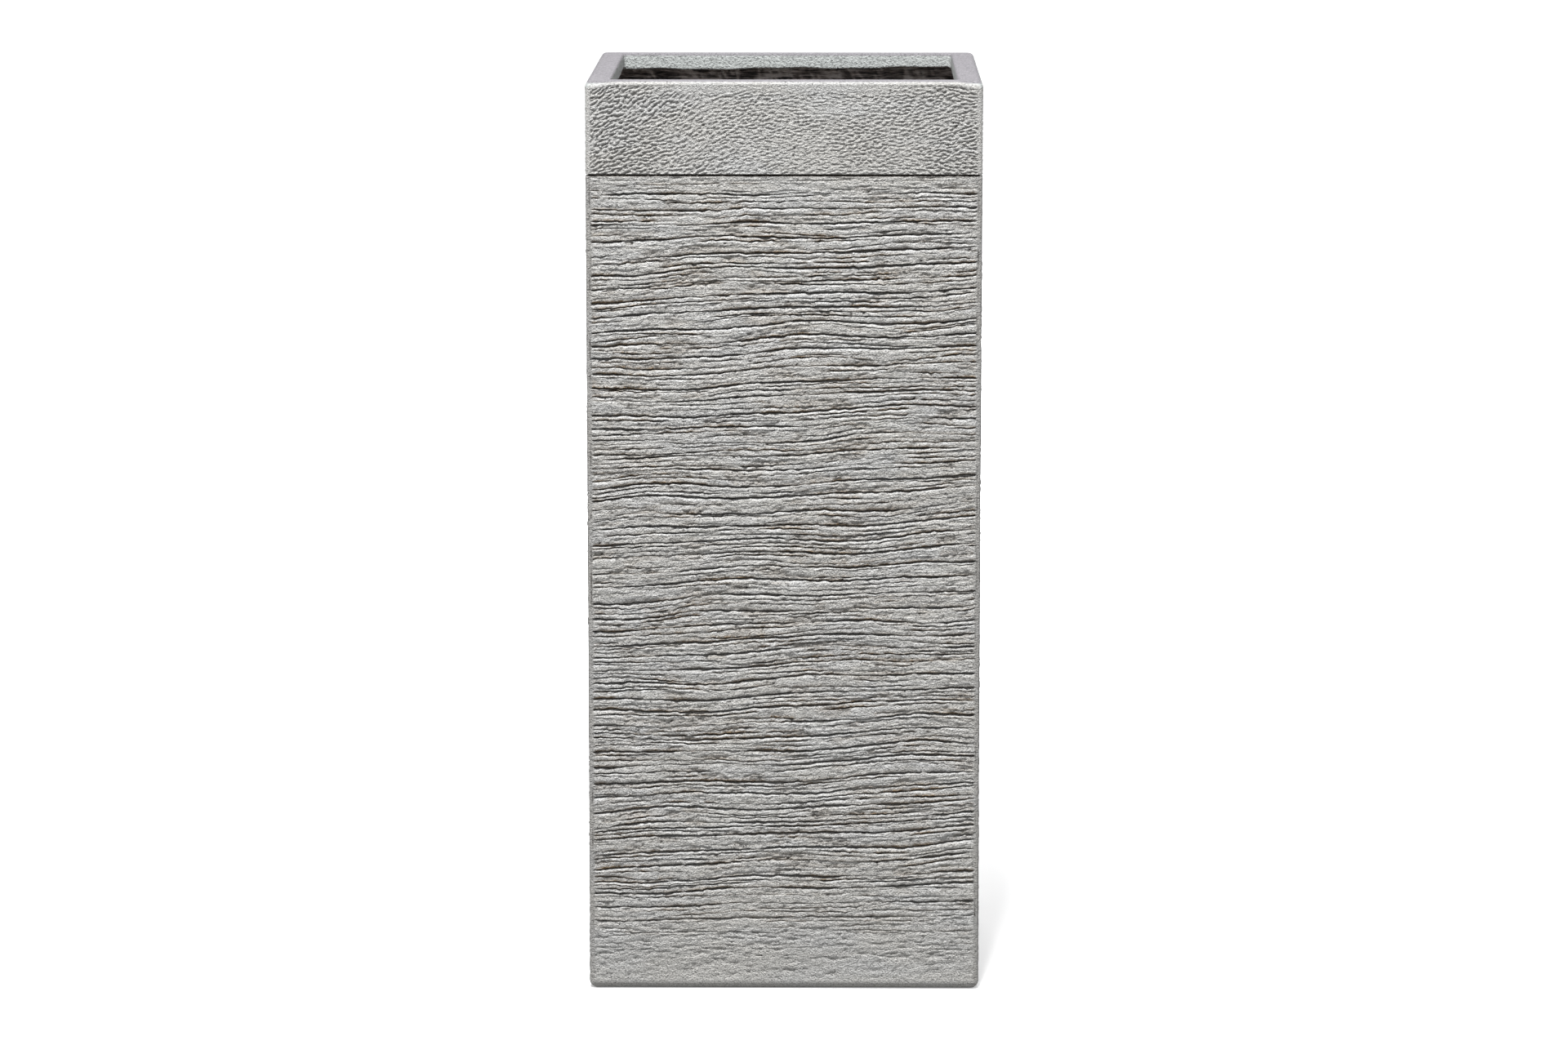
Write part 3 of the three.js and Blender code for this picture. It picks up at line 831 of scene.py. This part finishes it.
def roughened(rng, across, up, depth, painted_shade, dirt, painted_highlight, line):
    """The rows with their ripples, crumbs, grain and pits, and how hard the comb bore."""
    wide = np.broadcast_to(across, up.shape)
    sides = 1.0 - ease(144.4, 146.0, np.abs(wide))
    pressure = comb_pressure(up) * sides
    depth += comb_ripples(rng, wide, line)
    crumb = ease(0.4, 1.5, drift(rng, wide, line, 16.0, 4.5))
    depth += crumb * (0.15 + 0.60 * np.abs(drift(rng, wide, up, 2.9, 1.3)))
    depth = LIGHTEST + (depth - LIGHTEST) * pressure
    grain = 0.32 * drift(rng, wide, up, 11.0, 1.5) + 0.30 * drift(rng, wide, up, 3.2, 1.3)
    depth += grain * sides * (1.0 - 0.75 * pressure)
    add_pits(rng, across, up, depth, painted_shade, FACE_PITS, 1.2)
    seam = corner_seam(rng, wide, up)
    depth += 0.5 * seam
    # Painted shade along the corner seam.
    painted_shade = np.maximum(painted_shade * np.maximum(pressure, 0.2), 0.8 * seam)
    # Painted shade on the corner roundings, which turn away from the key light.
    painted_shade = np.maximum(painted_shade, 0.24 * ease(144.6, 146.4, np.abs(wide)))
    # The painted highlight, weaker where the comb bore less.
    painted_highlight = np.clip(0.7 * painted_highlight * pressure * (0.8 + 0.5 * drift(rng, wide, line, 6.0, 5.0)), 0.0, 0.8)
    edge = 1.0 - ease(147.0, 148.2, np.abs(wide))
    depth = np.clip(depth, 0.0, DEEPEST) * edge * ease(FOOT_TOP, FOOT_TOP + 4.0, up)
    patch = ease(-0.9, 1.2, drift(rng, wide, line, 36.0, 8.0))
    dirt = np.clip(dirt * patch + crumb * 0.16, 0.0, 1.0) * pressure
    return depth, painted_shade, dirt, painted_highlight, pressure


def combed_face(side, seed, material, column_count, steps, panels):
    """The combing of one face, from the foot edge to the scored line, in panels that meet in grooves."""
    rng = np.random.default_rng(seed)
    face = SIDES.index(side)
    across = columns(column_count, CORNER_COLUMNS)
    up, *layers, line = face_rows(rng, face, across, steps)
    depth, painted_shade, dirt, painted_highlight, pressure = roughened(rng, across, up, *layers, line)
    none = np.zeros((3, len(across)))
    ragged = 0.25 * drift(rng, none + across, up[-3:], 4.0, 50.0)[0]
    frayed = BRINK + 0.10 + 0.6 * np.minimum(ragged, 0.0)
    brink = np.stack([BRINK - 0.3 + none[0], frayed, SCORE_LINE + none[0]])
    groove = 1.0 - ease(147.6, 148.6, np.abs(across))
    up = np.concatenate([up, brink])
    depth = np.concatenate([depth, [0.3 * groove, 1.5 * groove, SCORE_DEPTH * groove]])
    # Painted shade in the scored line.
    painted_shade = np.concatenate([painted_shade, [0.25 * groove, groove, groove]])
    masks = {
        "painted_shade": np.clip(painted_shade, 0.0, 1.0),
        "dirt": np.concatenate([dirt, none]),
        "painted_highlight": np.concatenate([painted_highlight, none]),
        "comb_across": np.broadcast_to(across * MM, up.shape) + 0.9 * face,
        "comb_line": np.concatenate([line, brink]) * MM,
        "comb_strength": np.concatenate([pressure, none + 0.4]),
    }
    rows_per_ridge = LINES_PER_RIDGE * (1 + len(OVER_CRACK) + steps + len(UNDER_CRACK))
    ridges = [round(GROOVES * n / panels) for n in range(1, panels)]
    cuts = [0] + [FOOT_ROWS + rows_per_ridge * ridge for ridge in ridges] + [len(up) - 1]
    made = []
    for n in range(panels):
        rows = slice(cuts[n], cuts[n + 1] + 1)
        part = {key: value[rows] for key, value in masks.items()}
        name = f"combed_{side}_{n + 1}"
        made.append(facing_panel(name, side, across, up[rows], depth[rows], part, material))
    return made


# ------------ the band
def sampled(field, col, row):
    """Field read between its samples."""
    col = np.clip(col, 0.0, field.shape[1] - 1.001)
    row = np.clip(row, 0.0, field.shape[0] - 1.001)
    i = col.astype(int)
    j = row.astype(int)
    fc = col - i
    fr = row - j
    low = field[j, i] * (1.0 - fc) + field[j, i + 1] * fc
    high = field[j + 1, i] * (1.0 - fc) + field[j + 1, i + 1] * fc
    return low * (1.0 - fr) + high * fr


def smeared(field, angle, step_u, step_z, length):
    """Field averaged along a direction that changes from place to place, both ways."""
    rows, cols = field.shape
    row0, col0 = np.mgrid[0:rows, 0:cols].astype(float)
    total = field.copy()
    weight = 1.0
    reach = max(step_u, step_z)
    for sign in (-1.0, 1.0):
        for n in range(1, int(length / reach) + 1):
            share = 1.0 - n * reach / (length + reach)
            du = sign * n * reach * np.cos(angle) / step_u
            dz = sign * n * reach * np.sin(angle) / step_z
            total += share * sampled(field, col0 + du, row0 + dz)
            weight += share
    return total / weight


def blurred(field, width):
    """Field softened over a width in samples."""
    rows, cols = field.shape
    fr = np.fft.fftfreq(rows)[:, None]
    fc = np.fft.rfftfreq(cols)[None, :]
    soft = np.exp(-2.0 * (math.pi * width) ** 2 * (fr ** 2 + fc ** 2))
    return np.fft.irfft2(np.fft.rfft2(field) * soft, s=field.shape)


def band_face(side, seed, material, across_count, up_count):
    """The rough-cast band over the scored line."""
    rng = np.random.default_rng(seed)
    across = columns(across_count, BAND_CORNER_COLUMNS)
    bottom = SCORE_LINE + SCORE_HALF + 0.2
    heights = np.linspace(bottom, BAND_TOP, up_count)
    top = BAND_TOP + (side == "front") * (FRONT_TOP - BAND_TOP) * crispness(across)
    up = bottom + (heights[:, None] - bottom) * (top - bottom) / (BAND_TOP - bottom)
    wide = np.broadcast_to(across, up.shape)
    step_u = (across[-1] - across[0]) / (len(across) - 1)
    step_z = heights[1] - heights[0]
    slant = np.radians(14.0 - 14.0 * wide / HALF + 11.0 * drift(rng, wide, up, 40.0, 25.0))
    raw = rng.standard_normal(up.shape)
    raw = blurred(raw, 0.40 / step_z) - blurred(raw, 1.05 / step_z)
    folds = smeared(raw, slant, step_u, step_z, 1.35)
    folds /= folds.std()
    folds = np.tanh(1.1 * folds)
    rough = 0.64 + 0.48 * (1.0 - ease(-135.0, -50.0, wide)) + 0.25 * ease(90.0, 140.0, wide)
    rough = rough + 0.09 * drift(rng, wide, up, 30.0, 16.0)
    calm = np.exp(-((wide - 5.0) / 55.0) ** 2 - ((up - 648.0) / 16.0) ** 2)
    rough = np.clip(rough * (1.0 - 0.35 * calm), 0.2, 1.4)
    rough *= 1.0 - (0.75 - 0.5 * ease(60.0, 130.0, np.abs(wide))) * ease(688.0, 694.0, up)
    rough *= 1.0 - ease(144.0, 147.8, np.abs(wide))
    depth = 0.80 * rough - 0.78 * rough * folds
    depth += 0.05 * np.clip(drift(rng, wide, up, 45.0, 20.0), -1.0, 1.0) * (rough > 0.0)
    depth = np.clip(depth, 0.0, 1.9)
    # Painted shade in the deepest parts of the folds.
    painted_shade = np.clip(-folds - 0.25, 0.0, 1.0) * 0.45 * rough
    add_pits(rng, across, up, depth, painted_shade, BAND_PITS, 0.9)
    edge = 1.0 - ease(147.2, 148.2, np.abs(wide))
    depth *= edge * (1.0 - ease(-2.0, -0.2, up - top))
    groove = 1.0 - ease(147.6, 148.4, np.abs(across))
    level = 0.0 * across
    up = np.concatenate([[level + SCORE_LINE, level + bottom - 0.35], up])
    depth = np.concatenate([[SCORE_DEPTH * groove, 1.5 * groove], depth])
    # Painted shade in the scored line.
    painted_shade = np.concatenate([[groove, groove], painted_shade])
    masks = {"painted_shade": np.clip(painted_shade, 0.0, 1.0), "dirt": np.zeros_like(up)}
    return facing_panel(f"band_{side}", side, across, up, depth, masks, material)


# ------------ rim, foot and inside
def crispness(across):
    """1 along the crisp front edge, 0 where it turns into the rounder corners."""
    return 1.0 - ease(128.0, 146.0, np.abs(across))


def arc(centre_inset, centre_height, radius, start, stop, steps):
    """Insets and heights round an arc; angles in degrees, 0 towards the outside, 90 up."""
    points = []
    for k in range(steps + 1):
        a = math.radians(start + (stop - start) * k / steps)
        points.append((centre_inset - radius * math.cos(a), centre_height + radius * math.sin(a)))
    return points


def rim_profile():
    inner = RIM_WIDTH
    points = [(0.0, BAND_TOP)]
    points += arc(EDGE_ROUND, HEIGHT - EDGE_ROUND, EDGE_ROUND, 0.0, 90.0, 8)
    points += [(EDGE_ROUND + 3.0, HEIGHT), (inner - LIP_ROUND - 3.0, HEIGHT)]
    points += arc(inner - LIP_ROUND, HEIGHT - LIP_ROUND, LIP_ROUND, 90.0, 180.0, 6)
    points += [(inner, HEIGHT - 5.5), (inner, LIP_BOTTOM + 2.5)]
    points += arc(inner - 1.2, LIP_BOTTOM + 1.2, 1.2, 180.0, 270.0, 4)
    points += [(inner - LIP_THICK, LIP_BOTTOM + 0.6), (inner - LIP_THICK, RIM_UNDERSIDE)]
    points += [(4.1, RIM_UNDERSIDE), (4.1, BAND_TOP)]
    return points


def crisp_edge(x, y, z):
    """A point of the rounded outer edge, drawn in to the smaller radius of the front."""
    share = crispness(x)
    inset = HALF + y
    if z < HEIGHT - EDGE_ROUND + 0.05:
        return x, y, z + share * (FRONT_TOP - BAND_TOP)
    tight = FRONT_ROUND / EDGE_ROUND
    inset += share * inset * (tight - 1.0)
    drop = (HEIGHT - z) * (1.0 + share * (tight - 1.0))
    return x, inset - HALF, HEIGHT - drop


def rim_piece(material):
    sections = []
    for inset, height in rim_profile():
        radius = max(CORNER - inset, 2.0)
        radius += (MOUTH_CORNER - radius) * ease(6.0, RIM_WIDTH, inset)
        sections.append((inset, radius, height))
    bm = lofted_ring(sections)
    rng = np.random.default_rng(91)
    phase = rng.uniform(0.0, 6.28, 6)
    for v in bm.verts:
        x, y, z = v.co / MM
        if y < -FLAT + 0.5 and z > BAND_TOP - 0.1 and HALF + y < EDGE_ROUND + 0.1:
            x, y, z = crisp_edge(x, y, z)
            v.co = (x * MM, y * MM, z * MM)
            continue
        low = 1.0 - min(max((z - LIP_BOTTOM) / 6.0, 0.0), 1.0)
        inward = max(abs(x), abs(y)) < HALF - RIM_WIDTH + LIP_THICK + 0.5
        if not inward or low <= 0.0:
            continue
        run = x if abs(y) > abs(x) else y
        wave = 0.55 * math.sin(run / 17.0 + phase[0]) + 0.3 * math.sin(run / 6.1 + phase[1])
        if y > abs(x):
            wave += 1.1 * x / HALF
        v.co.z += low * wave * MM
    piece = finish_mesh(bm, "rim_and_lip", material, "planter")
    points = [v.co / MM for v in piece.data.vertices]
    add_mask(piece.data, "rim_height", [(z - LIP_BOTTOM) / (HEIGHT - LIP_BOTTOM) for x, y, z in points])
    add_mask(piece.data, "rim_inset", [(HALF - max(abs(x), abs(y))) / RIM_WIDTH for x, y, z in points])
    return piece


def foot_piece(material):
    """The rounded foot edge, the standing margin under it and the edge of the recess."""
    points = [(4.0, FOOT_TOP), (0.0, FOOT_TOP)]
    points += arc(FOOT_ROUND, FOOT_ROUND, FOOT_ROUND, 0.0, -88.0, 8)
    points += [(FOOT_ROUND + 2.0, 0.0), (RETURN_WIDTH - 1.5, 0.0), (RETURN_WIDTH - 0.4, 0.4)]
    points += [(RETURN_WIDTH, 1.4), (RETURN_WIDTH, RETURN_TOP), (4.0, RETURN_TOP)]
    sections = []
    for inset, height in points:
        radius = max(CORNER - inset, 0.4)
        radius += 11.0 * ease(9.0, 27.0, inset)
        sections.append((inset, radius, height))
    bm = lofted_ring(sections)
    return finish_mesh(bm, "foot_edge", material, "planter")


def strand_field(rng, across, up, count):
    """Heights of chopped strands scattered over a wall, from 0 in the resin to 1 on a strand."""
    field = np.zeros(up.shape)
    column = up[:, 0]
    for _ in range(count):
        u = rng.uniform(across[0], across[-1])
        z = rng.uniform(column[0], column[-1])
        turn = rng.uniform(0.0, math.pi)
        length = rng.uniform(9.0, 20.0)
        width = rng.uniform(0.7, 1.3)
        c0, c1 = np.searchsorted(across, (u - length, u + length))
        r0, r1 = np.searchsorted(column, (z - length, z + length))
        du = across[None, c0:c1] - u
        dz = up[r0:r1, c0:c1] - z
        along = du * math.cos(turn) + dz * math.sin(turn)
        beside = dz * math.cos(turn) - du * math.sin(turn)
        mark = np.exp(-(beside / width) ** 2) * (1.0 - ease(length * 0.8, length, np.abs(along)))
        field[r0:r1, c0:c1] = np.maximum(field[r0:r1, c0:c1], mark * rng.uniform(0.4, 1.0))
    return field


def wall_panel(side, seed, material):
    """The laid-up glass mat of one wall, as it shows inside."""
    rng = np.random.default_rng(seed)
    across = np.linspace(-WALL_INNER, WALL_INNER, WALL_COLUMNS)
    heights = np.linspace(LAMINATE_TOP, RIM_UNDERSIDE, WALL_ROWS)
    up = np.broadcast_to(heights[:, None], (len(heights), len(across)))
    wide = np.broadcast_to(across, up.shape)
    field = strand_field(rng, across, up, STRANDS)
    swell = 0.25 * np.clip(drift(rng, wide, up, 40.0, 9.0), -1.0, 1.0)
    swell += 0.2 * drift(rng, wide, up, 14.0, 2.2)
    proud = np.clip(0.35 + 0.45 * field + swell, 0.0, 1.2)
    proud *= 1.0 - ease(WALL_INNER - 6.0, WALL_INNER - 1.0, np.abs(wide))
    proud *= ease(LAMINATE_TOP, LAMINATE_TOP + 3.0, up)
    proud *= 1.0 - ease(CORE_BOTTOM - 4.0, CORE_BOTTOM - 1.0, up)
    bm = blank_slab(*up.shape)
    piece = finish_mesh(bm, f"laid_up_wall_{side}", material, "planter")
    mesh = piece.data
    r, c, behind = slab_places(mesh, *up.shape)
    run = np.where(behind, across[c] * WALL_OUTER / WALL_INNER, across[c])
    out = np.where(behind, WALL_OUTER, WALL_INNER - proud[r, c])
    x, y = turned(run, out, side)
    add_mask(mesh, "strand", np.where(behind, 0.0, field[r, c]))
    mesh.flip_normals()
    move_points(mesh, x, y, up[r, c])
    return piece


def laid_up_return(material):
    """The mat on the return round the open underside."""
    points = [(4.2, 4.0), (4.2, LAMINATE_TOP), (25.5, LAMINATE_TOP), (26.0, 6.4), (26.0, 4.4), (25.6, 4.0)]
    sections = [(inset, 4.0 + 8.0 * inset / 26.0, height) for inset, height in points]
    bm = lofted_ring(sections)
    return finish_mesh(bm, "laid_up_return", material, "planter")


def turned_plug(material):
    """The drain plug: stem, flange and grip, turned round its axis."""
    stem = [(0.0, 6.25), (10.6, 6.25), (11.2, 6.6), (12.1, 8.6), (12.15, 12.9)]
    flange = [(12.3, 13.02), (19.9, 13.02), (20.35, 13.4), (20.4, 14.9), (20.0, 15.6), (19.2, 15.95)]
    grip = [(8.6, 16.2), (5.4, 16.75), (4.2, 17.8), (3.75, 19.4), (3.9, 20.9), (4.9, 22.0), (5.75, 22.9),
            (5.85, 23.9), (5.3, 24.7), (4.3, 24.95), (0.0, 24.98)]
    profile = stem + flange + grip
    bm = bmesh.new()
    line = [bm.verts.new((r * MM, 0.0, z * MM)) for r, z in profile]
    edges = [bm.edges.new(pair) for pair in zip(line, line[1:])]
    bmesh.ops.spin(bm, geom=line + edges, cent=(0.0, 0.0, 0.0), axis=(0.0, 0.0, 1.0), angle=2.0 * math.pi,
                   steps=64, use_merge=True)
    bmesh.ops.remove_doubles(bm, verts=bm.verts, dist=1e-6)
    shade(bm)
    return finish_mesh(bm, "turned_plug", material, "plug")


# ------------ stage
def lamp(name, where, width, height, watts):
    data = bpy.data.lights.new(name, "AREA")
    data.shape = "RECTANGLE"
    data.size = width
    data.size_y = height
    data.energy = watts
    obj = add_object(name, data)
    obj.location = where
    obj.rotation_euler = (Vector(LAMP_TARGET) - obj.location).to_track_quat("-Z", "Y").to_euler()


def floor_piece():
    """A pale floor that keeps the planter's shadow and goes over into the white behind it."""
    bm = bmesh.new()
    bmesh.ops.create_grid(bm, x_segments=8, y_segments=8, size=14.0)
    material, tree, shader = blank_material("pale_floor", 0.95)
    path = tree.nodes.new("ShaderNodeLightPath")
    colour = mixed(tree, path.outputs["Is Camera Ray"], (0.30, 0.30, 0.30), (0.97, 0.97, 0.97))
    feed(tree, shader.inputs["Base Color"], colour)
    shader.inputs["Specular IOR Level"].default_value = 0.0
    away = node(tree, "ShaderNodeVectorMath", operation="LENGTH")
    feed(tree, away.inputs[0], place(tree))
    far = ramp(tree, sums(tree, "DIVIDE", away.outputs["Value"], 2.0), [(0.14, 0.0), (0.45, 1.0)])
    glow = sums(tree, "ADD", 0.34, times(tree, far, 0.66))
    seen = times(tree, glow, path.outputs["Is Camera Ray"])
    feed(tree, shader.inputs["Emission Strength"], seen)
    feed(tree, shader.inputs["Emission Color"], (1.0, 1.0, 1.0))
    mesh_object(bm, "floor", material)


def world():
    """White to the camera, a dim even light to everything else."""
    made = bpy.data.worlds.new("studio")
    made.use_nodes = True
    tree = made.node_tree
    back = tree.nodes["Background"]
    path = tree.nodes.new("ShaderNodeLightPath")
    level = mixed(tree, path.outputs["Is Camera Ray"], (0.20, 0.202, 0.207), (1.0, 1.0, 1.0))
    feed(tree, back.inputs["Color"], level)
    back.inputs["Strength"].default_value = 1.0
    bpy.context.scene.world = made


def camera():
    data = bpy.data.cameras.new("camera")
    data.lens = CAMERA_LENS
    data.sensor_width = 36.0
    data.clip_end = 100.0
    obj = add_object("camera", data)
    obj.location = CAMERA_PLACE
    obj.rotation_euler = CAMERA_TURN
    bpy.context.scene.camera = obj


def dress_outside(combed, rough_cast, paint):
    """The facing: combed faces and bands, the rim and the foot."""
    pieces = []
    for n, side in enumerate(SIDES):
        face = FINE_FACE if side == "front" else PLAIN_FACE
        band = FINE_BAND if side == "front" else PLAIN_BAND
        pieces += combed_face(side, 400 + 17 * n, combed, *face)
        pieces.append(band_face(side, 900 + 23 * n, rough_cast, *band))
    pieces.append(rim_piece(paint))
    pieces.append(foot_piece(rough_cast))
    for piece in pieces:
        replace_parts(piece, "facing_shell")


def dress_inside(mat, wall_mat):
    """The laid-up walls and return."""
    pieces = [wall_panel(side, 50 + 7 * n, wall_mat) for n, side in enumerate(SIDES)]
    pieces.append(laid_up_return(mat))
    for piece in pieces:
        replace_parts(piece, "laminate_shell")


def finish_solids(finishes):
    """The solids that show as they are take the material of their slot."""
    for part in frame["record"]["subparts"]:
        if part["material_slot"] in finishes:
            mesh = frame["nodes"][part["node"]].data
            mesh.materials.clear()
            mesh.materials.append(finishes[part["material_slot"]])


def main():
    grain = grain_group()
    coat = coat_group(weather_group())
    combed = coat_material("combed_coat", grain, coat, 0.75, True)
    rough_cast = coat_material("rough_cast_coat", grain, coat, 0.35, False)
    paint = rim_material("rim_paint_with_shaded_top", grain, coat)
    strands = strand_group()
    mat = glass_mat_material("glass_mat", strands, 0.5, False)
    wall_mat = glass_mat_material("wall_mat", strands, 1.6, True)
    putty = plain_grain_material("putty", PUTTY, 0.004, 0.7)
    core = plain_grain_material("core_timber", TIMBER, 0.006, 0.8)
    rubber = plain_grain_material("plug_rubber", RUBBER, 0.002, 0.55)

    dress_outside(combed, rough_cast, paint)
    dress_inside(mat, wall_mat)
    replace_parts(turned_plug(rubber), "drain_plug")
    finish_solids({"glass_mat": mat, "bonding_putty": putty, "rim_core": core, "plug_rubber": rubber})

    floor_piece()
    world()
    for settings in LAMPS:
        lamp(*settings)
    camera()
    bpy.context.scene.view_settings.view_transform = "Standard"


main()
